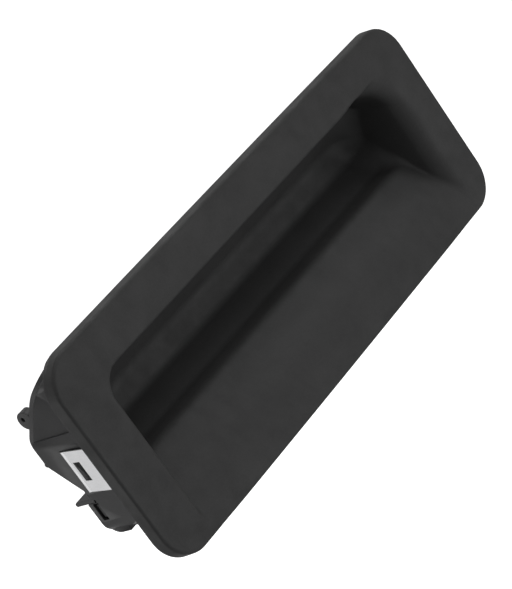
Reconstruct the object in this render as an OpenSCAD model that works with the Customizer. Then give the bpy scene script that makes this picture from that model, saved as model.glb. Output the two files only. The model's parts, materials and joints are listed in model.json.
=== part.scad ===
// Recessed pull handle for a car's tailgate, with a hidden release switch.
// X runs along the handle, Z up, Y into the car. The origin is the centre of the
// bezel's rear face, which is the face that rests on the body panel.

/* [Bezel] */
// Length of the bezel
bezel_l = 198; // [196:0.5:202]
// Height of the bezel
bezel_h = 72; // [71.5:0.5:75]
// Thickness of the bezel plate
bezel_t = 4.5; // [4.3:0.1:5]
// Corner radius of the bezel
bezel_r = 12; // [8:0.5:14]

/* [Finger recess] */
// Half the width of the recess at the face
recess_w = 82.2; // [80:0.2:83]
// Height of the lip's edge above the origin
lip_z = 21.5; // [21:0.1:21.9]
// Where the ramp meets the face, below the origin
ramp_z = -25; // [-25.5:0.1:-24]
// Depth of the recess behind the panel face
recess_d = 22; // [21:0.1:22.5]
// Half the width of the recess at its back wall
recess_back_w = 77.5; // [74:0.5:78]
// Wall thickness of the recess bowl
bowl_t = 2.1; // [1.8:0.1:2.2]

/* [Housing skirt] */
// Half the length of the skirt that passes through the panel
skirt_w = 92; // [91.5:0.1:92]
// Top of the skirt
skirt_top = 33; // [32.9:0.1:33.2]
// Bottom of the skirt
skirt_low = -22.7; // [-23:0.1:-22.5]
// Wall thickness of the skirt
skirt_t = 2; // [1.8:0.1:2.1]
// Wall thickness of the rear cover
cover_t = 1.6; // [1.4:0.1:1.7]

/* [Release paddle] */
// Half the width of the paddle
paddle_w = 38; // [37.5:0.1:38.2]
// Thickness of the paddle's plate
plate_t = 1.4; // [1.2:0.1:1.5]

/* [Spring clips] */
// Thickness of the spring steel
clip_t = 0.5; // [0.4:0.05:0.5]
// Width of a clip along Z
clip_h = 14.6; // [13.5:0.1:14.8]
// Middle of a clip along Z
clip_z = 1.1; // [0.9:0.1:1.3]

/* [Hidden] */
$fn = 48;
arc_steps = 6;          // straight pieces in each rounded corner of a profile
past = 1;               // how far a cutting shape runs past the face it opens
far = 60;               // longer than anything it has to cut across

// Skirt and rear outline, seen along X as [y, z]
skirt_r_top = 6;       // corner radii of the skirt, seen along Y
skirt_r_low = 4.5;
box_y = 23.4;           // rear face of the lower box
box_r = 4.5;
fin_z = -9.2;           // top of the fin along the rear
fin_t = 1.4;
fin_y = 28.4;
dome_end = [20.8, -6.9];
dome_corners = [[3.2, skirt_top], [5.0, skirt_top], [16.2, 26.0], [28.7, 13.2], [28.7, 4.6], dome_end];
dome_radii = [0, 5, 30, 6, 4, 0];
rib_start = 8;          // the cover's ribs start this far back

// Recess, seen along X as [y, z], from the ramp's front edge up to the lip
lip_t = 3.5;            // thickness of the lip behind the face
ceiling_z = 22.2;
crest = [6.8, -7.9];    // where the ramp rolls over into the pocket behind the lip
pocket_floor = [13.0, -5.9];
pocket_back = [recess_d - 1.2, 1.2];
recess_corners = [[-bezel_t - 0.1, ramp_z - 0.15], crest, pocket_floor, pocket_back, [recess_d, 9.0],
    [11.2, ceiling_z], [lip_t - bezel_t, ceiling_z]];
recess_radii = [0, 6, 5, 4, 5, 6, 0];
opening_r = 8;          // corner radius of the recess at the face
pocket_r = 6;           // corner radius of the recess at its back wall, seen from above

// Gasket groove in the bezel's rear face
gasket_w = 1.4;
gasket_half = 96.4;
gasket_low = -26.4;
gasket_high = 35.3;
groove_d = 1.0;
gasket_proud = 0.5;

// Clip platform on each end wall, the slot for the clip's fold, and the boss in its window
platform_t = 0.8;
platform_low = -9.3;
platform_high = 13.3;
fold_y = 17.3;          // middle of the sheet where it passes through the wall
fold_r = 0.7;
clip_hinge_y = 15.6;    // where the outer leg starts to flex
leg_x = skirt_w + platform_t + 0.5;
leg_apex = [leg_x + 2.0, 3.9];
leg_end = [leg_x + 1.3, 2.0];
window_y = [11.05, 14.55];
window_z = [-2.2, 4.4];
boss_gap = 0.35;

// Release paddle and its hinge
hinge_y = 10.2;
hinge_z = 24.9;
pin_r = 0.6;
knuckle_r = 1.25;
ear_r = 1.4;
ear_x = [29, 36];       // inner faces of the two ears on each side
ear_w = 2;
knuckle_x = 31.3;
knuckle_w = 4.4;
plate_y = [1.5, 8.9];
plate_z = [22.6, 22.6 + plate_t];
pad_z = 21.95;          // the pad stays above the lip's edge
pad_rib_y = [3.6, 5.2, 6.8];
pad_rib_r = 0.3;
window_front = 1.0;     // opening in the recess ceiling
window_rear = 9.4;
nose_y = 3.4;
nose_top = 24.7;
spring_x = 23;
spring_y = 3.9;
spring_top = 28.7;
spring_r = 1.6;
spring_wire_r = 0.2;

// Microswitch and its carrier
case_x = 6.4;
case_y = [1.65, 6.0];
case_z = [25.75, 28.6];
base_top = 29.9;
plunger_r = 0.75;
plunger_fit = 0.05;
switch_screw_x = 5.0;
switch_screw_z = 27.2;
carrier_x = 32;
carrier_y = [0.1, 1.6];
carrier_z = [25.2, 30.6];
carrier_screw_x = 29;
carrier_screw_z = 27.9;
terminal_y = [2.8, 4.8];
terminal_z = 29.25;
terminal_end = -9.6;
wire_r = 0.55;

// Rear cover, its screws, and the connector
cover_end = 91.8;
tongue_x = [40, 76];    // the two tongues that hook under the skirt's top wall
cover_rib_x = [-72, -48, 12, 36, 60];
cover_rib_t = 1.6;
lug_x = [88.4, 91.2];
lug_at = [24.4, 20.0];
lug_hole = [25.0, 20.6];
nib_at = [28.5, 4.9];
cover_screw_x = [-70, -30, 30, 70];
cover_screw_z = -14.4;
cover_screw_r = 1.2;
cover_screw_l = 10;
flange_y = 23.2;        // outer face of the cover's lower flange
boss_y = flange_y - cover_t - 0.1;
flange_low = -17.2;
tab_y = [19.4, 20.9];
tab_z = [-16.4, -11.7];
latch_y = [19.0, 21.5];
latch_z = [-17, -11];
plug_x = -16;
plug_z = 8.9;
plug_face = 28.7;       // the cover's flat, where the connector sits
seal_t = 0.6;
plug_pitch = 5;
plug_end = 39.5;
pin_end = 36.5;

// Unit vector, and the normal on the left of a direction
function unit(v) = v / norm(v);
function left_of(v) = [-v[1], v[0]] / norm(v);

// Points of a round corner of radius r at p, between a and b
function corner(a, p, b, r) =
    let (u = unit(a - p), v = unit(b - p), half = acos(u * v) / 2)
    let (c = p + unit(u + v) * r / sin(half), s = p + u * r / tan(half), e = p + v * r / tan(half))
    let (from = atan2(s[1] - c[1], s[0] - c[0]), to = atan2(e[1] - c[1], e[0] - c[0]))
    let (turn = (to - from + 540) % 360 - 180)
    [for (k = [0:arc_steps]) c + r * [cos(from + turn * k / arc_steps), sin(from + turn * k / arc_steps)]];

// A path through corner points, each rounded by its own radius
function rounded(pts, radii) = [for (i = [0:len(pts) - 1])
    each radii[i] == 0 ? [pts[i]]
        : corner(pts[(i + len(pts) - 1) % len(pts)], pts[i], pts[(i + 1) % len(pts)], radii[i])];

// The path moved sideways by d, to the left of the way it runs
function beside(pts, d) = [for (i = [0:len(pts) - 1])
    let (last = len(pts) - 1)
    let (n1 = i == 0 ? left_of(pts[1] - pts[0]) : left_of(pts[i] - pts[i - 1]))
    let (n2 = i == last ? n1 : left_of(pts[i + 1] - pts[i]))
    pts[i] + (n1 + n2) * 2 * d / ((n1 + n2) * (n1 + n2))];

function reversed(pts) = [for (i = [len(pts) - 1:-1:0]) pts[i]];

// A strip of even thickness on the left of a path
function strip(pts, t) = concat(pts, reversed(beside(pts, t)));

dome = rounded(dome_corners, dome_radii);
dome_inside = beside(dome, -cover_t);
recess = rounded(recess_corners, recess_radii);
recess_outside = beside(recess, -bowl_t);

// Extrudes a [y, z] shape along X, from x0 to x1
module along_x(x0, x1) {
    translate([x0, 0, 0]) rotate([90, 0, 90]) linear_extrude(x1 - x0) children();
}

// Extrudes an [x, z] shape along Y, from y0 to y1
module along_y(y0, y1) {
    translate([0, y1, 0]) rotate([90, 0, 0]) linear_extrude(y1 - y0) children();
}

// A box between two corners
module block(low, high) {
    translate(low) cube(high - low);
}

// Does the same at both ends of the handle
module both_ends() {
    children();
    mirror([1, 0, 0]) children();
}

// Outline with round corners, wider than it is high, with its own radii below and above
module outline(half, low, high, r_low, r_high) {
    translate([-half, low + r_low]) square([2 * half, high - low - r_low - r_high]);
    translate([r_low - half, low]) square([2 * (half - r_low), r_low]);
    translate([r_high - half, high - r_high]) square([2 * (half - r_high), r_high]);
    for (side = [-1, 1]) {
        translate([side * (half - r_low), low + r_low]) circle(r_low);
        translate([side * (half - r_high), high - r_high]) circle(r_high);
    }
}

// Everything inside the skirt's end walls, seen along X
module end_wall_shape() {
    polygon(concat([[0, skirt_top]], [dome[0]], dome_inside, [[dome_end[0] - cover_t, fin_z + 0.2],
        [dome_end[0] - cover_t, fin_z - fin_t - 0.2], [box_y, fin_z - fin_t - 0.2]],
        corner([box_y, 0], [box_y, skirt_low], [0, skirt_low], box_r), [[0, skirt_low]]));
}

// The hollow that fingers reach into
module recess_space() {
    intersection() {
        along_x(-recess_w - past, recess_w + past)
            polygon(concat(recess, [[lip_t - bezel_t, lip_z], [-bezel_t - 0.1, lip_z]]));
        translate([0, 0, -far]) linear_extrude(2 * far)
            polygon(rounded([[-recess_w, -bezel_t - 0.1], [recess_w, -bezel_t - 0.1],
                [recess_back_w, recess_d + 0.5], [-recess_back_w, recess_d + 0.5]], [0, 0, pocket_r, pocket_r]));
        union() {
            along_y(-bezel_t - 0.1, lip_t - bezel_t)
                outline(recess_w, ramp_z, lip_z, opening_r, opening_r);
            along_y(lip_t - bezel_t, far) outline(recess_w, ramp_z, far, opening_r, opening_r);
        }
    }
}

// The bowl around that hollow, still solid
module recess_bowl() {
    intersection() {
        along_x(-recess_w - bowl_t, recess_w + bowl_t) polygon(recess_outside);
        translate([0, 0, -far]) linear_extrude(2 * far)
            polygon(rounded([[-recess_w - bowl_t, -bezel_t], [recess_w + bowl_t, -bezel_t],
                [recess_back_w + bowl_t, recess_d + bowl_t], [-recess_back_w - bowl_t, recess_d + bowl_t]],
                [0, 0, pocket_r + bowl_t, pocket_r + bowl_t]));
    }
}

// Clip platform, and the boss that holds the clip by its window
module clip_seat() {
    along_x(skirt_w - 0.5, skirt_w + platform_t) intersection() {
        end_wall_shape();
        translate([0, platform_low]) square([far, platform_high - platform_low]);
    }
    block([skirt_w, window_y[0] + boss_gap, window_z[0] + boss_gap],
        [leg_x + 0.85, window_y[1] - 2 * boss_gap, window_z[1] - boss_gap]);
}

// One screw boss for the rear cover
module cover_boss(x) {
    translate([x, 2, cover_screw_z]) rotate([-90, 0, 0]) cylinder(r = 2.8, h = boss_y - 2);
}

// Two ears for one of the paddle's pins
module hinge_ears() {
    for (x = ear_x) along_x(x, x + ear_w) {
        translate([hinge_y, hinge_z]) circle(ear_r);
        translate([hinge_y - ear_r, 23]) square([2 * ear_r, hinge_z - 23]);
    }
}

module handle_housing() color([0.16, 0.16, 0.165]) difference() {
    union() {
        along_y(-bezel_t, 0) outline(bezel_l / 2, -bezel_h / 2, bezel_h / 2, bezel_r, bezel_r);
        recess_bowl();
        intersection() {
            along_y(-past, far) difference() {
                outline(skirt_w, skirt_low, skirt_top, skirt_r_low, skirt_r_top);
                outline(skirt_w - skirt_t, skirt_low + skirt_t, skirt_top - skirt_t,
                    skirt_r_low - skirt_t, skirt_r_top - skirt_t);
            }
            along_x(-skirt_w - past, skirt_w + past)
                union() {
                    end_wall_shape();
                    translate([-past, skirt_low]) square([past, skirt_top - skirt_low]);
                }
        }
        // Rear lower corner of the box
        along_x(-skirt_w + 1, skirt_w - 1)
            polygon(strip(concat([[15, skirt_low]],
                reversed(corner([box_y, 0], [box_y, skirt_low], [0, skirt_low], box_r)),
                [[box_y, flange_low - 0.4]]), skirt_t));
        both_ends() {
            clip_seat();
            hinge_ears();
        }
        for (x = cover_screw_x) cover_boss(x);
        for (x = [-50, 0, 50]) along_x(x - 0.8, x + 0.8)
            polygon([[-1, skirt_low + 1], [20.6, skirt_low + 1], [20.6, -12], [9, -12], [-1, -21]]);
    }
    recess_space();
    // Groove for the gasket
    along_y(-groove_d, past) difference() {
        outline(gasket_half, gasket_low, gasket_high, 8, 8);
        outline(gasket_half - gasket_w, gasket_low + gasket_w, gasket_high - gasket_w, 6.6, 6.6);
    }
    // Window for the release paddle, and the pockets for its knuckles
    block([-paddle_w - 0.4, window_front, ceiling_z - past], [paddle_w + 0.4, window_rear, ceiling_z + 3]);
    both_ends() {
        block([knuckle_x - 0.25, window_rear - past, hinge_z - knuckle_r - 0.25],
            [knuckle_x + knuckle_w + 0.25, hinge_y + knuckle_r + 0.4, hinge_z + 3]);
        translate([ear_x[0] - past, hinge_y, hinge_z]) rotate([0, 90, 0])
            cylinder(r = pin_r + 0.01, h = ear_x[1] + ear_w - ear_x[0] + 2 * past);
        translate([carrier_screw_x, -3.2, carrier_screw_z]) rotate([-90, 0, 0]) cylinder(r = 1.01, h = 3.2 + past);
        // Slot for the clip's fold, and the latch window for the rear cover
        block([skirt_w - skirt_t - past, fold_y - 0.5, clip_z - clip_h / 2 - 0.2],
            [skirt_w + platform_t + past, fold_y + 0.5, clip_z + clip_h / 2 + 0.2]);
        block([skirt_w - skirt_t - past, latch_y[0], latch_z[0]], [skirt_w + past, latch_y[1], latch_z[1]]);
    }
    for (x = cover_screw_x) translate([x, boss_y - cover_screw_l, cover_screw_z]) rotate([-90, 0, 0])
        cylinder(r = cover_screw_r + 0.01, h = cover_screw_l + past);
}

module bezel_gasket() color([0.1, 0.1, 0.1])
    along_y(-groove_d, gasket_proud) difference() {
        outline(gasket_half, gasket_low, gasket_high, 8, 8);
        outline(gasket_half - gasket_w, gasket_low + gasket_w, gasket_high - gasket_w, 6.6, 6.6);
    }

// Rubber pad that the fingers press, with three grip ribs
module touch_pad() color([0.12, 0.12, 0.12]) {
    translate([0, 0, pad_z]) linear_extrude(plate_z[0] - pad_z)
        translate([0, (plate_y[0] + plate_y[1]) / 2])
            outline(paddle_w - 1, -(plate_y[1] - plate_y[0]) / 2 + 0.3, (plate_y[1] - plate_y[0]) / 2 - 0.3, 2, 2);
    for (y = pad_rib_y) along_x(4 - paddle_w, paddle_w - 4) translate([y, pad_z]) circle(pad_rib_r);
}

module release_paddle() color([0.25, 0.25, 0.26]) difference() {
    union() {
        block([-paddle_w, plate_y[0], plate_z[0]], [paddle_w, plate_y[1], plate_z[1]]);
        block([-2.2, nose_y - 0.5, plate_z[1] - 0.2], [2.2, nose_y + 0.5, nose_top]);
        both_ends() {
            translate([spring_x, spring_y, plate_z[1] - 0.2]) cylinder(r = 1.0, h = 1.0);
            along_x(knuckle_x, knuckle_x + knuckle_w) {
                translate([hinge_y, hinge_z]) circle(knuckle_r);
                polygon([[6.5, plate_z[1] - 0.3], [plate_y[1], plate_z[1] - 0.3], [hinge_y, hinge_z - knuckle_r],
                    [hinge_y, hinge_z + knuckle_r], [6.5, plate_z[1] + 0.4]]);
            }
        }
    }
    translate([-far, hinge_y, hinge_z]) rotate([0, 90, 0]) cylinder(r = pin_r + 0.05, h = 2 * far);
}

module paddle_hinge_pins() color("silver") both_ends()
    translate([ear_x[0] + 0.2, hinge_y, hinge_z]) rotate([0, 90, 0])
        cylinder(r = pin_r, h = ear_x[1] + ear_w - ear_x[0] - 0.2);

// A round wire swept along a helix that stands on z = 0
module coil(radius, wire, height, turns) {
    sides = 6;
    per_turn = 14;
    steps = turns * per_turn;
    ring = [for (i = [0:steps]) let (a = 360 * i / per_turn)
        for (k = [0:sides - 1]) let (b = 360 * k / sides)
            [(radius + wire * cos(b)) * cos(a), (radius + wire * cos(b)) * sin(a),
                wire + (height - 2 * wire) * i / steps + wire * sin(b)]];
    sweep(ring, sides);
}

// Closed tube from rings of points, each ring with the same number of sides
module sweep(points, sides) {
    rings = len(points) / sides;
    walls = [for (i = [0:rings - 2]) for (k = [0:sides - 1]) let (n = (k + 1) % sides)
        each [[i * sides + k, (i + 1) * sides + n, i * sides + n],
            [i * sides + k, (i + 1) * sides + k, (i + 1) * sides + n]]];
    first = [[for (k = [0:sides - 1]) k]];
    last = [[for (k = [sides - 1:-1:0]) (rings - 1) * sides + k]];
    polyhedron(points, concat(walls, first, last));
}

module paddle_springs() color("silver") both_ends()
    translate([spring_x, spring_y, plate_z[1] + 0.02])
        coil(spring_r, spring_wire_r, spring_top - plate_z[1] - 0.04, 5);

// Bracket that holds the switch and the springs' upper ends
module switch_carrier() color([0.3, 0.3, 0.31]) difference() {
    union() {
        block([-carrier_x, carrier_y[0], carrier_z[0]], [carrier_x, carrier_y[1], carrier_z[1]]);
        both_ends() {
            block([spring_x - 2.4, carrier_y[1] - 0.2, spring_top], [spring_x + 2.4, 6.2, spring_top + 1.1]);
            translate([spring_x, spring_y, spring_top - 0.8]) cylinder(r = 1.0, h = 1);
        }
    }
    both_ends() {
        translate([carrier_screw_x, -past, carrier_screw_z]) rotate([-90, 0, 0]) cylinder(r = 1.15, h = 4);
        translate([switch_screw_x, -past, switch_screw_z]) rotate([-90, 0, 0]) cylinder(r = 0.76, h = 4);
    }
}

// Pan-head screw along Y with its head to the rear and a cross recess; y is the seat
module screw(x, y, z, shank_r, shank_l, head_r, head_h) {
    translate([x, y, z]) rotate([-90, 0, 0]) {
        translate([0, 0, -shank_l]) cylinder(r = shank_r, h = shank_l + 0.1);
        difference() {
            union() {
                cylinder(r = head_r, h = head_h * 0.7);
                translate([0, 0, head_h * 0.7]) cylinder(r1 = head_r, r2 = head_r * 0.75, h = head_h * 0.3);
            }
            for (a = [0, 90]) rotate([0, 0, a])
                translate([-head_r * 0.55, -head_r * 0.13, head_h * 0.4]) cube([head_r * 1.1, head_r * 0.26, head_h]);
        }
    }
}

module carrier_screws() color("silver") both_ends()
    screw(carrier_screw_x, carrier_y[1], carrier_screw_z, 1.0, 4.4, 1.9, 1.1);

module switch_screws() color("silver") both_ends()
    screw(switch_screw_x, case_y[1], switch_screw_z, 0.75, 5.6, 1.3, 0.8);

// Hollow case of the switch, with the plunger's bore below
module microswitch_case() color([0.2, 0.2, 0.22]) difference() {
    block([-case_x, case_y[0], case_z[0]], [case_x, case_y[1], case_z[1]]);
    block([-3.2, case_y[0] + 0.6, case_z[0] + 0.9], [3.2, case_y[1] - 0.6, case_z[1] + past]);
    translate([0, nose_y, case_z[0] - past]) cylinder(r = plunger_r + plunger_fit, h = 3);
    both_ends() translate([switch_screw_x, 0, switch_screw_z]) rotate([-90, 0, 0]) cylinder(r = 0.8, h = 9);
}

module microswitch_base() color([0.55, 0.12, 0.1]) difference() {
    block([-case_x, case_y[0], case_z[1]], [case_x, case_y[1], base_top]);
    for (y = terminal_y) block([-case_x - past, y - 0.42, terminal_z - 0.22], [-1.95, y + 0.42, terminal_z + 0.22]);
}

module microswitch_plunger() color([0.85, 0.83, 0.75]) {
    translate([0, nose_y, nose_top + 0.05]) cylinder(r = plunger_r, h = 2.5);
    translate([0, nose_y, case_z[0] + 0.95]) cylinder(r = 1.0, h = 0.5);
}

module microswitch_terminals() color([0.8, 0.65, 0.3])
    for (y = terminal_y) block([terminal_end, y - 0.4, terminal_z - 0.2], [-2, y + 0.4, terminal_z + 0.2]);

// Curved shell that closes the back, with a fin and a lower flange
module rear_cover() color([0.14, 0.14, 0.145]) difference() {
    union() {
        intersection() {
            along_x(-cover_end, cover_end) polygon(strip(dome, -cover_t));
            along_y(-past, far) outline(cover_end, -skirt_top, skirt_top, past, skirt_r_top);
        }
        along_x(-skirt_w, skirt_w)
            polygon([dome_end + [-1, 0.9], dome_end + [0.1, 1], [dome_end[0] + 0.5, fin_z],
                [fin_y - 0.6, fin_z], [fin_y, fin_z - 0.5], [fin_y, fin_z - fin_t + 0.3], [fin_y - 0.4, fin_z - fin_t],
                [dome_end[0] - 1, fin_z - fin_t]]);
        along_x(0.3 + skirt_t - skirt_w, skirt_w - skirt_t - 0.3)
            polygon([[dome_end[0] - 1, fin_z - 0.5], [flange_y, fin_z - 0.5], [flange_y, flange_low],
                [flange_y - cover_t, flange_low], [flange_y - cover_t, fin_z - fin_t - 1], [dome_end[0] - 1, fin_z - fin_t]]);
        both_ends() along_x(tongue_x[0], tongue_x[1])
            polygon([[2.2, 29.9], [2.2, 30.8], [4.6, 30.8], [7.5, 30.2], [7.5, 29.2], [4.6, 29.9]]);
        // Stiffening ribs over the dome
        for (x = cover_rib_x) along_x(x, x + cover_rib_t)
            polygon(strip(beside([for (p = dome) if (p[0] > rib_start) p], -0.3), 1.0));
        both_ends() {
            // Lug for a harness tie, and a moulding nib
            along_x(lug_x[0], lug_x[1]) translate(lug_at) circle(3);
            along_x(89, cover_end) translate(nib_at) circle(0.7);
            // Snap arm and tab
            block([86.6, 17.5, tab_z[0] - 0.2], [89.7, flange_y - cover_t + 0.1, tab_z[1] + 0.1]);
            block([89.6, tab_y[0], tab_z[0]], [91.4, tab_y[1], tab_z[1]]);
        }
    }
    // The lugs' holes, the connector's opening and the screw holes
    both_ends() along_x(lug_x[0] - past, lug_x[1] + past) translate(lug_hole) circle(0.75);
    block([plug_x - 5.6, 26, plug_z - 3.2], [plug_x + 5.6, plug_face + 3, plug_z + 3.2]);
    for (x = cover_screw_x) translate([x, 20, cover_screw_z]) rotate([-90, 0, 0])
        cylinder(r = cover_screw_r + 0.2, h = 6);
}

module cover_screws() color("silver")
    for (x = cover_screw_x) screw(x, flange_y, cover_screw_z, cover_screw_r, cover_screw_l, 2.5, 1.7);

// Slots for the connector's two pins
module pin_slots(grow, y0, y1) {
    for (side = [-0.5, 0.5]) translate([plug_x + side * plug_pitch, 0, plug_z])
        block([-0.75 - grow, y0, -0.4 - grow], [0.75 + grow, y1, 0.4 + grow]);
}

module connector_shell() color([0.22, 0.22, 0.23]) difference() {
    translate([plug_x, 0, plug_z]) {
        along_y(plug_face - 1.5, plug_face + 0.1 + seal_t) outline(5.4, -3.0, 3.0, 1, 1);
        along_y(plug_face + seal_t, plug_face + seal_t + 1.2) outline(8, -5.4, 5.4, 1.5, 1.5);
        along_y(plug_face + seal_t + 1, plug_end) outline(6.5, -4.1, 4.1, 1.5, 1.5);
        along_x(-2, 2) polygon([[33, 4.0], [36.8, 4.0], [36.8, 5.2], [35.9, 5.2]]);
    }
    translate([plug_x, 0, plug_z]) along_y(plug_face + 3.2, plug_end + past) outline(5.1, -2.7, 2.7, 0.8, 0.8);
    pin_slots(0.02, 20, far);
}

module connector_seal() color([0.75, 0.3, 0.12]) translate([plug_x, 0, plug_z])
    along_y(plug_face, plug_face + seal_t) difference() {
        outline(7.7, -5.1, 5.1, 1.2, 1.2);
        outline(5.7, -3.3, 3.3, 1.2, 1.2);
    }

module connector_pins() color([0.8, 0.65, 0.3]) pin_slots(0, 25, pin_end);

// Round wire along a list of points, as rings square to the way it runs
module wire_along(pts) {
    sides = 8;
    last = len(pts) - 1;
    ring = [for (i = [0:last])
        let (dir = unit(pts[min(i + 1, last)] - pts[max(i - 1, 0)]))
        let (u = unit(cross(dir, [0.3, 1, 0.2])), v = cross(dir, u))
        for (k = [0:sides - 1]) pts[i] + wire_r * (u * cos(360 * k / sides) + v * sin(360 * k / sides))];
    sweep(ring, sides);
}

// The wires run over the bowl's back, in the gap under the dome
wire_drop = [[11, 25.3], [14, 23.1], [18, 19.0], [22, 14.8], [24.6, 12.4], [25.5, 11], [25.6, 9.5]];

module supply_wire() color([0.7, 0.1, 0.1])
    wire_along(concat([[terminal_end - 0.05, 4.8, terminal_z], [-11, 5.0, 29.0], [-12.4, 6.2, 28.2],
        [-13.2, 8.4, 26.9]], [for (p = wire_drop) [plug_x + plug_pitch / 2, p[0], p[1]]]));

module signal_wire() color([0.15, 0.15, 0.15])
    wire_along(concat([[terminal_end - 0.05, 2.8, terminal_z], [-12.4, 3.1, 29.1], [-15.4, 4.9, 28.4],
        [-17.6, 7.8, 27.1]], [for (p = wire_drop) [plug_x - plug_pitch / 2, p[0], p[1]]]));

// Sheet-metal strip along an [x, y] path
module sheet(corners, radii) {
    path = rounded(corners, radii);
    translate([0, 0, clip_z - clip_h / 2]) linear_extrude(clip_h) polygon(strip(beside(path, -clip_t / 2), clip_t));
}

inner_leg_x = skirt_w - skirt_t - 0.4;

// Inner leg and fold, which stay put
module clip_body() color([0.86, 0.87, 0.88])
    sheet([[inner_leg_x, 6], [inner_leg_x, fold_y], [leg_x, fold_y], [leg_x, clip_hinge_y + 0.05]],
        [0, fold_r, fold_r, 0]);

// Outer leg, which springs behind the panel's edge
module clip_leg() color([0.88, 0.89, 0.9]) difference() {
    sheet([[leg_x, clip_hinge_y], leg_apex, leg_end], [0, 1.2, 0]);
    block([leg_x - 2, window_y[0], window_z[0]], [leg_x + 3, window_y[1], window_z[1]]);
}

module left_clip() mirror([1, 0, 0]) clip_body();
module right_clip() clip_body();
module left_clip_leg() mirror([1, 0, 0]) clip_leg();
module right_clip_leg() clip_leg();

handle_housing();
bezel_gasket();
touch_pad();
release_paddle();
paddle_hinge_pins();
paddle_springs();
switch_carrier();
carrier_screws();
microswitch_case();
microswitch_base();
microswitch_plunger();
microswitch_terminals();
switch_screws();
rear_cover();
cover_screws();
connector_shell();
connector_seal();
connector_pins();
supply_wire();
signal_wire();
left_clip();
left_clip_leg();
right_clip();
right_clip_leg();
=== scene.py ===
import json
import math
import bmesh
import bpy
import numpy as np
import openvdb
from mathutils import Matrix, Vector


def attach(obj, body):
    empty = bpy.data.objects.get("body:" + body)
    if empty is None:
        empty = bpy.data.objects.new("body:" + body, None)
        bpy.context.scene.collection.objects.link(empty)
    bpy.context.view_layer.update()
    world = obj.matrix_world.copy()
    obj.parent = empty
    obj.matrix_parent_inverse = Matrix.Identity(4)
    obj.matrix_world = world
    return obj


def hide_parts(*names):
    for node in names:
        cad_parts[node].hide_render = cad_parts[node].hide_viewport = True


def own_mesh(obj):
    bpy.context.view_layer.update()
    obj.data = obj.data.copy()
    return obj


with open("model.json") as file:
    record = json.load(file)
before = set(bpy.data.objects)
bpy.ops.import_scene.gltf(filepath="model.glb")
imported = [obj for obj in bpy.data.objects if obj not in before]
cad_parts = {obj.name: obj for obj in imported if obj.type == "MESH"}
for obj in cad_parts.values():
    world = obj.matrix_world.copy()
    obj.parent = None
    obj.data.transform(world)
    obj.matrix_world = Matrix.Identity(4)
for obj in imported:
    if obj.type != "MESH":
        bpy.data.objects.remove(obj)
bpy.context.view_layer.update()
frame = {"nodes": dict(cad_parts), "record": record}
scene = bpy.context.scene
nodes = frame["nodes"]
MM = 0.001

# ---------------------------------------------------------------- camera

AIM = (-0.00728, 0.00642, -0.00021)     # metres, the point in the middle of the picture
DISTANCE = 0.714                        # metres, from the camera to that point
HEADING, PITCH = 41.770, -15.218        # degrees, to the right of +Y and up
ROLL = -35.203                          # degrees, about the direction of view
LENS, SENSOR = 143.1, 36                # millimetres
CLIP_NEAR, CLIP_FAR = 0.01, 60          # metres


def make_camera():
    """The photograph's view: from the left, in front and above, with the handle's right end up."""
    data = bpy.data.cameras.new("camera")
    data.lens = LENS
    data.sensor_width = SENSOR
    data.clip_start, data.clip_end = CLIP_NEAR, CLIP_FAR
    camera = bpy.data.objects.new("camera", data)
    scene.collection.objects.link(camera)
    turn = Matrix.Identity(4)
    for degrees, axis in ((-HEADING, "Z"), (90 + PITCH, "X"), (ROLL, "Z")):
        turn = turn @ Matrix.Rotation(math.radians(degrees), 4, axis)
    camera.matrix_world = Matrix.Translation(AIM) @ turn @ Matrix.Translation((0, 0, DISTANCE))
    scene.camera = camera


make_camera()

# ---------------------------------------------------------------- housing sizes, in millimetres
# X runs along the handle, Y into the car and Z up to the lip. The bezel's face is at y = -BEZEL_T.

BEZEL_L, BEZEL_H = 99.0, 36.0       # half sizes of the bezel
BEZEL_T = 4.5
BEZEL_R = 12.0
BEZEL_DRAFT = 0.35                  # the front outline is this much smaller all round
BEZEL_BOW = 0.3                     # the long sides bulge by this much
BEZEL_EDGE = 0.6                    # radius between the face and the sides
SIDE_SKIN = 0.05                    # the finished sides lie this far inside the CAD's, for a clean cut
SIDE_CUT_Y = 1.2                    # the sides are cut this far past the bezel's rear face

# The recess seen along X, as (y, z): a ramp to the crest, a pocket behind it, the back wall, the ceiling
RAMP_Z = -25.0                      # where the ramp meets the face
CREST, POCKET_FLOOR, POCKET_BACK = (6.8, -7.9), (13.0, -5.9), (20.8, 1.2)
RECESS_D, BACK_TOP_Z = 22.0, 9.0
CEILING_REAR_Y, CEILING_Z = 11.2, 22.2
CEILING_LIFT = 0.05                 # the cut runs this far above the ceiling
AHEAD = 8.0                         # the section is carried on this far in front of the face
SECTION_RADII = [0, 6, 5, 4, 5, 6, 0]

# The recess seen from the front
RECESS_W, RECESS_BACK_W = 82.2, 77.5            # half widths at the face and at the back
SLANT = (RECESS_W - RECESS_BACK_W) / (RECESS_D + BEZEL_T)
LIP_Z, LIP_REAR = 21.5, -1.0                    # the lip's edge and its rear face
OPENING_R, RIGHT_R = 8.0, 15.0                  # corners of the opening at the left and right end

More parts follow.
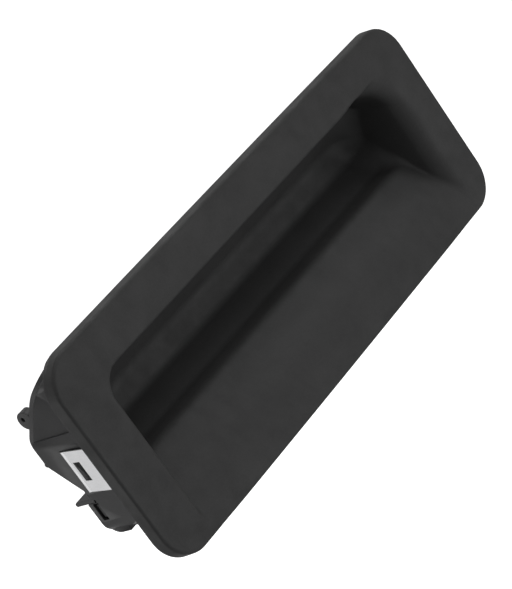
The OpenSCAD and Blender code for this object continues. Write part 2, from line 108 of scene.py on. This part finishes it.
# Radii that change from place to place: the smallest, then what is added over a run that starts
# at the place named and is as long as its RUN
RIM = 0.7, 4.8                      # crisp at the left end, soft at the right end
RIM_X, RIM_RUN = 54, 22
RAMP_EDGE = 0.3, 4.5                # crisp in the upper half, a soft run into the face below
RAMP_EDGE_Z, RAMP_EDGE_RUN = 4, 12
INNER = 0.9, 6.0, 4                 # tight where the ramp meets the face, wide and then wider inside
INNER_Y, INNER_Y_RUN = 4, 9
INNER_Z, INNER_Z_RUN = 6, 8
DEEP_Y, DEEP_Y_RUN = 10, 8
DEEP_Z, DEEP_Z_RUN = 2, 6
LIP_END_X, LIP_END_RUN = 58, 12     # the undercut ends where the right rim turns soft
LIP_END_DEPTH = 30                  # the lip's rear face moves this far back there, past the recess
NO_LIP = -50                        # the lip's field in the lower half, where there is none

# The blank that the recess is cut from
FILLER_SKIN = 0.6                   # the filler reaches this far past the recess's side and back walls
FILLER_RAMP, FILLER_TOP, FILLER_LIP = 1.5, 0.4, 1   # and this far past the ramp, the ceiling and the lip
FILLER_SHIFTS = [(0.3, -0.6), (0.4, -0.6), (0.6, -0.5)]     # its corners from the crest to the back
FILLER_CEILING_SHIFT = 0.3
FILLER_FRONT_Y = -2.0               # its rear face behind the lip
WINDOW = (-38.41, 0.99, 20.0), (38.41, 9.41, 24.0)  # the touch pad's opening in the recess ceiling
SLAB_SIDE = 0.3                     # the slab in front of the bezel is this much larger all round
SLAB_Y = -BEZEL_T - 0.4, -1.3       # from in front of the face to inside the bezel

VOXEL = 0.5                         # grid of the recess's field
FIELD_MARGIN = 2.5                  # the grid reaches this far past the bezel and the recess
BAND = 3 * VOXEL                    # distances are kept up to this far from the surface
BOX_CLEAR = 1.6 * VOXEL             # the mesh is closed this far inside the grid

# Faces behind SKIRT_Y and past any of the others are the skirt and the bowl's back
SKIRT_Y, SKIRT_X = 0.2, 84.5
SKIRT_TOP, SKIRT_BOTTOM, BOWL_BACK = 24.3, -18.0, RECESS_D + 0.4
SHARP_DEGREES = 32                  # steeper edges than this aren't shaded smooth


# ---------------------------------------------------------------- outlines and distance fields

def corner_arc(before, at, after, radius, steps=8):
    """Points of a round corner at a profile's vertex."""
    before, at, after = (np.array(p, float) for p in (before, at, after))
    u = (before - at) / np.linalg.norm(before - at)
    v = (after - at) / np.linalg.norm(after - at)
    half = math.acos(float(np.clip(u @ v, -1, 1))) / 2
    centre = at + (u + v) / np.linalg.norm(u + v) * radius / math.sin(half)
    start, end = at + u * radius / math.tan(half), at + v * radius / math.tan(half)
    first = math.atan2(*(start - centre)[::-1])
    turn = (math.atan2(*(end - centre)[::-1]) - first + 3 * math.pi) % (2 * math.pi) - math.pi
    angles = [first + turn * k / steps for k in range(steps + 1)]
    return [centre + radius * np.array((math.cos(a), math.sin(a))) for a in angles]


def rounded(points, radii):
    """A profile with round corners."""
    made = []
    for i, (p, r) in enumerate(zip(points, radii)):
        if r == 0:
            made.append(np.array(p, float))
        else:
            made += corner_arc(points[i - 1], p, points[(i + 1) % len(points)], r)
    return np.array(made)


def polygon_distance(poly, y, z):
    """Signed distance from each grid point to a closed polygon, negative inside."""
    best = np.full(np.broadcast(y, z).shape, 1e9)
    inside = np.zeros(best.shape, bool)
    for (ay, az), (by, bz) in zip(poly, np.roll(poly, -1, axis=0)):
        ey, ez = by - ay, bz - az
        t = np.clip(((y - ay) * ey + (z - az) * ez) / max(ey * ey + ez * ez, 1e-12), 0, 1)
        best = np.minimum(best, np.hypot(y - ay - t * ey, z - az - t * ez))
        crosses = (az > z) != (bz > z)
        inside ^= crosses & (y < ay + (z - az) * ey / (ez if ez else 1e-12))
    return np.where(inside, -best, best)


def round_max(a, b, r):
    """Intersection of two fields, its outer corner rounded to radius r."""
    return np.minimum(np.maximum(a, b), -r) + np.hypot(np.maximum(a + r, 0), np.maximum(b + r, 0))


def round_min(a, b, r):
    """Union of two fields, its inner corner filled to radius r."""
    return -round_max(-a, -b, r)


def smooth_min(a, b, reach):
    """Union of two fields, blended where they differ by less than reach."""
    share = np.clip(0.5 + 0.5 * (b - a) / reach, 0, 1)
    return b + (a - b) * share - reach * share * (1 - share)


def ease(t):
    """Smooth step from 0 to 1."""
    t = np.clip(t, 0, 1)
    return t * t * (3 - 2 * t)


def rounded_box(x, z, half, low, high, r):
    """Distance to an outline with round corners."""
    middle, reach = (low + high) / 2, (high - low) / 2
    u, v = np.abs(x) - half + r, np.abs(z - middle) - reach + r
    return np.minimum(np.maximum(u, v), 0) + np.hypot(np.maximum(u, 0), np.maximum(v, 0)) - r


def air_field(x, y, z, section):
    """The air in front of the face and in the finger recess: negative where there is air."""
    front = y + BEZEL_T
    wall = (np.abs(x) - RECESS_W + SLANT * front) / math.hypot(1, SLANT)
    rim = RIM[0] + RIM[1] * ease((x - RIM_X) / RIM_RUN)
    ramp_reach = RAMP_EDGE[0] + RAMP_EDGE[1] * ease((RAMP_EDGE_Z - z) / RAMP_EDGE_RUN)
    wide = np.maximum(ease((y - INNER_Y) / INNER_Y_RUN), ease((z - INNER_Z) / INNER_Z_RUN))
    deep = ease((y - DEEP_Y) / DEEP_Y_RUN) * ease((z - DEEP_Z) / DEEP_Z_RUN)
    inner = INNER[0] + INNER[1] * wide + INNER[2] * deep
    ramp_and_face = smooth_min(section, front, ramp_reach)
    hollow = round_max(ramp_and_face, round_min(wall, front, rim), inner)
    opening_r = np.where(x > 0, RIGHT_R, OPENING_R)
    opening = round_min(rounded_box(x, z, RECESS_W, -LIP_Z, LIP_Z, opening_r), front, rim)
    lip_rear = LIP_REAR + LIP_END_DEPTH * ease((x - LIP_END_X) / LIP_END_RUN)
    lip = np.minimum(lip_rear - y, opening)
    return np.maximum(hollow, np.where(z > 0, lip, NO_LIP))


def cutter_field(x, y, z, section):
    """All the air in front of, beside and inside the bezel."""
    draft = BEZEL_DRAFT * np.clip(-y / BEZEL_T, 0, 1)
    bowed = z / (1 - BEZEL_BOW / BEZEL_H * (x / BEZEL_L) ** 2)
    plan = rounded_box(x, bowed, BEZEL_L, -BEZEL_H, BEZEL_H, BEZEL_R) + draft + SIDE_SKIN
    body = round_max(plan, -BEZEL_T - y, BEZEL_EDGE)
    outside = np.maximum(-body, y - SIDE_CUT_Y)
    return np.minimum(air_field(x, y, z, section), outside)


def make_section():
    """The recess seen along X, carried on in front of the face."""
    slope = (CREST[1] - RAMP_Z) / (CREST[0] + BEZEL_T)
    front, top = -BEZEL_T - AHEAD, CEILING_Z + CEILING_LIFT
    points = [(front, RAMP_Z - slope * AHEAD), CREST, POCKET_FLOOR, POCKET_BACK,
              (RECESS_D, BACK_TOP_Z), (CEILING_REAR_Y, top), (front, top)]
    return rounded(points, SECTION_RADII)


# ---------------------------------------------------------------- meshes

def link(name, mesh):
    obj = bpy.data.objects.new(name, mesh)
    scene.collection.objects.link(obj)
    return obj


def field_mesh(name, low, high, field):
    """A closed mesh round the part of a box where the field is negative."""
    axes = [np.arange(a, b + VOXEL / 2, VOXEL, dtype=np.float32) for a, b in zip(low, high)]
    x, y, z = axes[0][:, None, None], axes[1][None, :, None], axes[2][None, None, :]
    values = field(x, y, z)
    for grid_axis, a, b in ((x, low[0], high[0]), (y, low[1], high[1]), (z, low[2], high[2])):
        values = np.maximum(values, np.maximum(a + BOX_CLEAR - grid_axis, grid_axis - b + BOX_CLEAR))
    grid = openvdb.FloatGrid(BAND)
    grid.copyFromArray(np.clip(values, -BAND, BAND).astype(np.float32))
    points, quads = grid.convertToQuads(isovalue=0.0)
    points = (points * VOXEL + np.array(low)) * MM
    mesh = bpy.data.meshes.new(name)
    mesh.from_pydata(points.tolist(), [], quads.tolist())
    mesh.validate()
    return mesh


def closed_mesh(name, points, faces):
    """A solid from points in millimetres, its faces turned outward."""
    mesh = bpy.data.meshes.new(name)
    mesh.from_pydata([Vector(p) * MM for p in points], [], faces)
    shape = bmesh.new()
    shape.from_mesh(mesh)
    bmesh.ops.recalc_face_normals(shape, faces=shape.faces)
    bmesh.ops.triangulate(shape, faces=[f for f in shape.faces if len(f.verts) > 4])
    shape.to_mesh(mesh)
    shape.free()
    return mesh


def ring_faces(count):
    """The sides between two rings of count points each."""
    return [[i, (i + 1) % count, count + (i + 1) % count, count + i] for i in range(count)]


def prism_along_x(name, section, half_at):
    """A closed solid from a (y, z) outline; half_at gives its half length at each y."""
    count = len(section)
    left = [(-half_at(y), y, z) for y, z in section]
    right = [(half_at(y), y, z) for y, z in section]
    caps = [list(range(count))[::-1], list(range(count, 2 * count))]
    return closed_mesh(name, left + right, caps + ring_faces(count))


def box_mesh(name, low, high):
    corners = [(x, y, z) for x in (low[0], high[0]) for y in (low[1], high[1])
               for z in (low[2], high[2])]
    faces = [(0, 1, 3, 2), (4, 6, 7, 5), (0, 4, 5, 1), (2, 3, 7, 6), (0, 2, 6, 4), (1, 5, 7, 3)]
    return closed_mesh(name, corners, faces)


def slab_mesh(name, half_x, half_z, r, y0, y1, steps=16):
    """A plate with round corners, thick along Y."""
    ring = []
    for side, end, first in ((1, 1, 0), (-1, 1, 90), (-1, -1, 180), (1, -1, 270)):
        for k in range(steps + 1):
            a = math.radians(first + 90 * k / steps)
            ring.append((side * (half_x - r) + r * math.cos(a), end * (half_z - r) + r * math.sin(a)))
    count = len(ring)
    points = [(x, y0, z) for x, z in ring] + [(x, y1, z) for x, z in ring]
    caps = [list(range(count)), list(range(count, 2 * count))[::-1]]
    return closed_mesh(name, points, caps + [face[::-1] for face in ring_faces(count)])


def combine(base, tool, operation):
    """Boolean of two meshes, applied."""
    a, b = link("base", base), link("tool", tool)
    modifier = a.modifiers.new("cut", "BOOLEAN")
    modifier.operation, modifier.solver, modifier.object = operation, "MANIFOLD", b
    bpy.context.view_layer.update()
    evaluated = a.evaluated_get(bpy.context.evaluated_depsgraph_get())
    made = bpy.data.meshes.new_from_object(evaluated)
    bpy.data.objects.remove(a)
    bpy.data.objects.remove(b)
    return made


def welded(mesh):
    """A copy of a CAD mesh whose faces share their vertices."""
    shape = bmesh.new()
    shape.from_mesh(mesh)
    bmesh.ops.remove_doubles(shape, verts=shape.verts, dist=1e-6)
    made = bpy.data.meshes.new(mesh.name + "_copy")
    shape.to_mesh(made)
    shape.free()
    return made


def make_filler():
    """A block that fills the CAD's recess, with the touch pad's window left open.

    Its outline is the recess's section, moved a little way into the walls.
    """
    top, lip_top = CEILING_Z + FILLER_TOP, LIP_Z + FILLER_LIP
    corners = zip((CREST, POCKET_FLOOR, POCKET_BACK), FILLER_SHIFTS)
    outline = [(-BEZEL_T, RAMP_Z - FILLER_RAMP)]
    outline += [(y + shift_y, z + shift_z) for (y, z), (shift_y, shift_z) in corners]
    outline += [(RECESS_D + FILLER_SKIN, BACK_TOP_Z), (CEILING_REAR_Y + FILLER_CEILING_SHIFT, top)]
    radii = SECTION_RADII[:len(outline)] + [0, 0, 0]
    outline += [(FILLER_FRONT_Y, top), (FILLER_FRONT_Y, lip_top), (-BEZEL_T, lip_top)]
    filler = prism_along_x("filler", rounded(outline, radii),
                           lambda y: RECESS_W + FILLER_SKIN - SLANT * (y + BEZEL_T))
    return combine(filler, box_mesh("window", *WINDOW), "DIFFERENCE")


def make_housing():
    """The CAD housing, its recess filled and its face covered, then cut by the field of air."""
    profile = make_section()
    reach = (BEZEL_L + FIELD_MARGIN, BEZEL_H + FIELD_MARGIN)
    low = (-reach[0], -BEZEL_T - FIELD_MARGIN, -reach[1])
    high = (reach[0], RECESS_D + FIELD_MARGIN, reach[1])

    def air(x, y, z):
        return cutter_field(x, y, z, polygon_distance(profile, y[0], z[0])[None])

    cutter = field_mesh("cutter", low, high, air)
    slab = slab_mesh("slab", BEZEL_L + SLAB_SIDE, BEZEL_H + SLAB_SIDE, BEZEL_R, *SLAB_Y)
    blank = combine(welded(nodes["handle_housing"].data), make_filler(), "UNION")
    blank = combine(blank, slab, "UNION")
    return combine(blank, cutter, "DIFFERENCE")


# ---------------------------------------------------------------- materials

MIX_A, MIX_B, MIX_RESULT = 6, 7, 2      # the colour sockets of a Mix node
PLASTIC_EDGE, METAL_EDGE = 0.0005, 0.0001       # metres, radius of the rounded edges
LINE_DEPTH = 0.000006                   # metres, depth of the lines in rolled steel
ROUGH_SPREAD = 0.07                     # roughness varies by this much either way


class Nodes:
    """A new material's node tree."""

    def __init__(self, name):
        self.material = bpy.data.materials.new(name)
        self.material.use_nodes = True
        self.tree = self.material.node_tree
        self.shader = self.tree.nodes["Principled BSDF"]
        self.coords = self.add("ShaderNodeTexCoord")

    def add(self, kind, inputs=None, **settings):
        node = self.tree.nodes.new(kind)
        for key, value in settings.items():
            setattr(node, key, value)
        for key, value in (inputs or {}).items():
            node.inputs[key].default_value = value
        return node

    def wire(self, a, out, b, into):
        self.tree.links.new(a.outputs[out], b.inputs[into])

    def noise(self, scale, detail=4.0, rough=0.55, stretch=(1, 1, 1)):
        """Noise over the piece itself, its features about 1/scale metres wide."""
        place = self.add("ShaderNodeMapping", {"Scale": stretch})
        self.wire(self.coords, "Object", place, "Vector")
        node = self.add("ShaderNodeTexNoise", {"Scale": scale, "Detail": detail, "Roughness": rough})
        self.wire(place, "Vector", node, "Vector")
        return node

    def ramp(self, source, out, start, end):
        """A ramp between two stops, each a position and a grey value or a colour."""
        node = self.add("ShaderNodeValToRGB")
        for element, (at, value) in zip(node.color_ramp.elements, (start, end)):
            element.position = at
            element.color = (*value, 1) if isinstance(value, tuple) else (value, value, value, 1)
        self.wire(source, out, node, "Fac")
        return node

    def product(self, kind, a, a_out, b, b_out, operation="MULTIPLY"):
        node = self.add(kind, operation=operation)
        self.wire(a, a_out, node, 0)
        self.wire(b, b_out, node, 1)
        return node

    def bevel(self, radius, samples):
        return self.add("ShaderNodeBevel", {"Radius": radius}, samples=samples)

    def vary_roughness(self, scale, rough):
        low, high = rough - ROUGH_SPREAD, rough + ROUGH_SPREAD
        ramp = self.ramp(self.noise(scale), "Fac", (0.3, low), (0.7, high))
        self.wire(ramp, "Color", self.shader, "Roughness")

    def relief(self, source, strength, depth, edges):
        """Bump in metres over rounded edges, into the shader."""
        node = self.add("ShaderNodeBump", {"Strength": strength, "Distance": depth})
        self.wire(source, "Fac", node, "Height")
        self.wire(edges, "Normal", node, "Normal")
        self.wire(node, "Normal", self.shader, "Normal")


def plastic(name, color, rough, grain=1500, grain_depth=0.00003, cloud=0.14, speck=0.10):
    """Moulded plastic: spark-eroded grain, faint clouding and specks, edges painted lighter, partly wear
    and partly a painted highlight.
    """
    n = Nodes(name)
    clouds = n.ramp(n.noise(38, 6, 0.65), "Fac", (0.32, 1 - cloud), (0.68, 1 + cloud))
    fine = n.noise(grain, 4, 0.7)
    specks = n.ramp(fine, "Fac", (0.3, 1 - speck), (0.7, 1 + speck))
    both = n.product("ShaderNodeVectorMath", clouds, "Color", specks, "Color")
    tint = n.add("ShaderNodeVectorMath", operation="MULTIPLY")
    n.wire(both, "Vector", tint, 0)
    tint.inputs[1].default_value = color
    # An edge is where the rounded normal turns away from the true one; there the colour is painted
    # lighter, partly wear and partly a painted highlight
    edges = n.bevel(PLASTIC_EDGE, samples=6)
    geometry = n.add("ShaderNodeNewGeometry")
    turn = n.product("ShaderNodeVectorMath", edges, "Normal", geometry, "Normal", "DOT_PRODUCT")
    edge_wear_and_highlight = n.ramp(turn, "Value", (0.78, 1.0), (0.98, 0.0))
    patchy_wear_and_highlight = n.product("ShaderNodeMath", edge_wear_and_highlight, "Color", n.noise(700, 3), "Fac")
    # Mix in the lighter edge colour: wear and a painted highlight along the rounded edges
    mix = n.add("ShaderNodeMix", data_type="RGBA")
    n.wire(patchy_wear_and_highlight, "Value", mix, "Factor")
    n.wire(tint, "Vector", mix, MIX_A)
    mix.inputs[MIX_B].default_value = (*(min(1, c * 3 + 0.06) for c in color), 1)
    n.wire(mix, MIX_RESULT, n.shader, "Base Color")
    n.vary_roughness(160, rough)
    n.relief(fine, 0.8, grain_depth, edges)
    return n.material


def metal(name, color, rough, stretch=(1, 1, 30), scale=900):
    """Rolled or plated steel: lines along the rolling direction, roughness that varies in patches."""
    n = Nodes(name)
    lines = n.noise(scale, 4, 0.6, stretch)
    dull = tuple(c * 0.9 for c in color)
    bright = tuple(min(1, c * 1.06) for c in color)
    n.wire(n.ramp(lines, "Fac", (0.3, dull), (0.7, bright)), "Color", n.shader, "Base Color")
    n.shader.inputs["Metallic"].default_value = 1.0
    n.vary_roughness(260, rough)
    n.relief(lines, 0.35, LINE_DEPTH, n.bevel(METAL_EDGE, samples=4))
    return n.material


# record slot: kind, colour, roughness, anything else
MATERIALS = {
    "bezel_black": (plastic, (0.034, 0.034, 0.034), 0.62, {}),
    "cover_black": (plastic, (0.026, 0.026, 0.027), 0.5, {}),
    "gasket_foam": (plastic, (0.016, 0.016, 0.016), 0.9, {"grain": 900, "grain_depth": 0.00015}),
    "pad_rubber": (plastic, (0.020, 0.020, 0.020), 0.75, {}),
    "paddle_grey": (plastic, (0.075, 0.075, 0.08), 0.5, {}),
    "pin_steel": (metal, (0.62, 0.62, 0.63), 0.25, {"stretch": (30, 1, 1)}),
    "spring_wire": (metal, (0.55, 0.55, 0.56), 0.3, {}),
    "screw_zinc": (metal, (0.66, 0.66, 0.64), 0.34, {"stretch": (1, 1, 1), "scale": 1500}),
    "switch_black": (plastic, (0.028, 0.028, 0.03), 0.32, {}),
    "switch_red": (plastic, (0.30, 0.028, 0.022), 0.45, {}),
    "plunger_ivory": (plastic, (0.66, 0.61, 0.46), 0.4, {"cloud": 0.05}),
    "terminal_brass": (metal, (0.75, 0.6, 0.28), 0.3, {"stretch": (1, 30, 1)}),
    "connector_black": (plastic, (0.028, 0.028, 0.028), 0.5, {}),
    "seal_orange": (plastic, (0.55, 0.16, 0.03), 0.6, {}),
    "wire_red": (plastic, (0.42, 0.02, 0.02), 0.38, {"cloud": 0.06}),
    "wire_black": (plastic, (0.02, 0.02, 0.02), 0.38, {}),
    "clip_steel": (metal, (0.80, 0.80, 0.81), 0.38, {"scale": 700}),
}
SKIRT = ((0.030, 0.030, 0.031), 0.4)    # the smoother plastic behind the bezel
SKIRT_GRAIN = {"speck": 0.04, "grain_depth": 0.00001, "cloud": 0.08}


def finish_nodes():
    """Every CAD node takes the material of its record slot."""
    made = {slot: make(slot, color, rough, **extra)
            for slot, (make, color, rough, extra) in MATERIALS.items()}
    for part in frame["record"]["subparts"]:
        mesh = nodes[part["node"]].data
        mesh.materials.clear()
        mesh.materials.append(made[part["material_slot"]])
    return made


def finish_shell(mesh, front, skirt):
    """Two materials and smooth shading for the housing."""
    mesh.materials.clear()
    mesh.materials.append(front)
    mesh.materials.append(skirt)
    centres = np.empty(3 * len(mesh.polygons))
    mesh.polygons.foreach_get("center", centres)
    x, y, z = centres.reshape(-1, 3).T / MM
    outside = (np.abs(x) > SKIRT_X) | (z > SKIRT_TOP) | (z < SKIRT_BOTTOM) | (y > BOWL_BACK)
    behind = (y > SKIRT_Y) & outside
    mesh.polygons.foreach_set("material_index", behind.astype(np.int32))
    mesh.polygons.foreach_set("use_smooth", np.ones(len(mesh.polygons), dtype=bool))
    mesh.set_sharp_from_angle(angle=math.radians(SHARP_DEGREES))


slots = finish_nodes()

shell_mesh = make_housing()
finish_shell(shell_mesh, slots["bezel_black"], plastic("skirt_black", *SKIRT, **SKIRT_GRAIN))
housing = link("handle_shell", shell_mesh)
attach(housing, "housing")
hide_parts("handle_housing")

# The springs go with the housing, as a copy of the CAD mesh
springs = link("return_springs", nodes["paddle_springs"].data.copy())
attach(springs, "housing")
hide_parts("paddle_springs")
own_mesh(springs)

# ---------------------------------------------------------------- stage and light

# name: direction it stands in, distance and size in metres, watts
SOFTBOXES = {
    "front": ((0.5, -1.0, -0.3), 1.4, (1.4, 1.4), 4.6),
    "top": ((0.57, -0.25, 0.79), 1.4, (0.9, 0.9), 5.8),
    "high": ((0.0, -0.8, 1.0), 1.4, (1.6, 1.0), 1.0),
    "far_left": ((-0.7, 0.72, -0.2), 1.4, (1.4, 1.4), 4.8),
    "rear": ((0.3, 0.75, 0.65), 1.4, (1.8, 1.0), 3.5),
    "below": ((0.0, -0.3, -1.0), 1.2, (1.6, 1.6), 2.5),
    "rear_low": ((0.6, 0.75, -0.55), 1.4, (1.6, 1.0), 5.0),
    "left_high": ((-0.75, -0.35, 0.8), 1.4, (0.7, 0.7), 1.5),
}
WORLD = 0.21
STAGE_REACH, FLOOR_Z = 6.0, -0.45


def softbox(name, toward, distance, size, watts):
    """A soft light that stands in the direction toward and faces the handle."""
    data = bpy.data.lights.new(name, "AREA")
    data.shape = "RECTANGLE"
    data.size, data.size_y = size
    data.energy = watts
    obj = bpy.data.objects.new(name, data)
    scene.collection.objects.link(obj)
    direction = Vector(toward).normalized()
    obj.location = direction * distance
    obj.rotation_mode = "QUATERNION"
    obj.rotation_quaternion = direction.to_track_quat("Z", "Y")
    obj.visible_camera = False


def stage_meshes():
    """A floor and a ball round the whole scene."""
    floor = bpy.data.meshes.new("floor")
    corners = [(-1, -1), (1, -1), (1, 1), (-1, 1)]
    floor.from_pydata([(x * STAGE_REACH, y * STAGE_REACH, FLOOR_Z) for x, y in corners],
                      [], [(0, 1, 2, 3)])
    ball = bmesh.new()
    bmesh.ops.create_icosphere(ball, subdivisions=4, radius=STAGE_REACH)
    backdrop = bpy.data.meshes.new("backdrop")
    ball.to_mesh(backdrop)
    ball.free()
    return floor, backdrop


def make_stage():
    """White paper that only the camera sees, a grey sky's light and the soft lights."""
    world = bpy.data.worlds.new("studio")
    scene.world = world
    world.use_nodes = True
    background = world.node_tree.nodes["Background"]
    background.inputs["Color"].default_value = (1, 1, 1, 1)
    background.inputs["Strength"].default_value = WORLD
    meshes = stage_meshes()
    paper = Nodes("paper_white")
    paper.shader.inputs["Base Color"].default_value = (0.9, 0.9, 0.9, 1)
    paper.shader.inputs["Roughness"].default_value = 0.9
    paper.shader.inputs["Emission Color"].default_value = (1, 1, 1, 1)
    paper.shader.inputs["Emission Strength"].default_value = 1.0
    for mesh in meshes:
        mesh.materials.append(paper.material)
        obj = link(mesh.name, mesh)
        obj.visible_diffuse = obj.visible_glossy = False
        obj.visible_transmission = obj.visible_shadow = False
    for name, values in SOFTBOXES.items():
        softbox(name, *values)
    scene.view_settings.view_transform = "Standard"


make_stage()
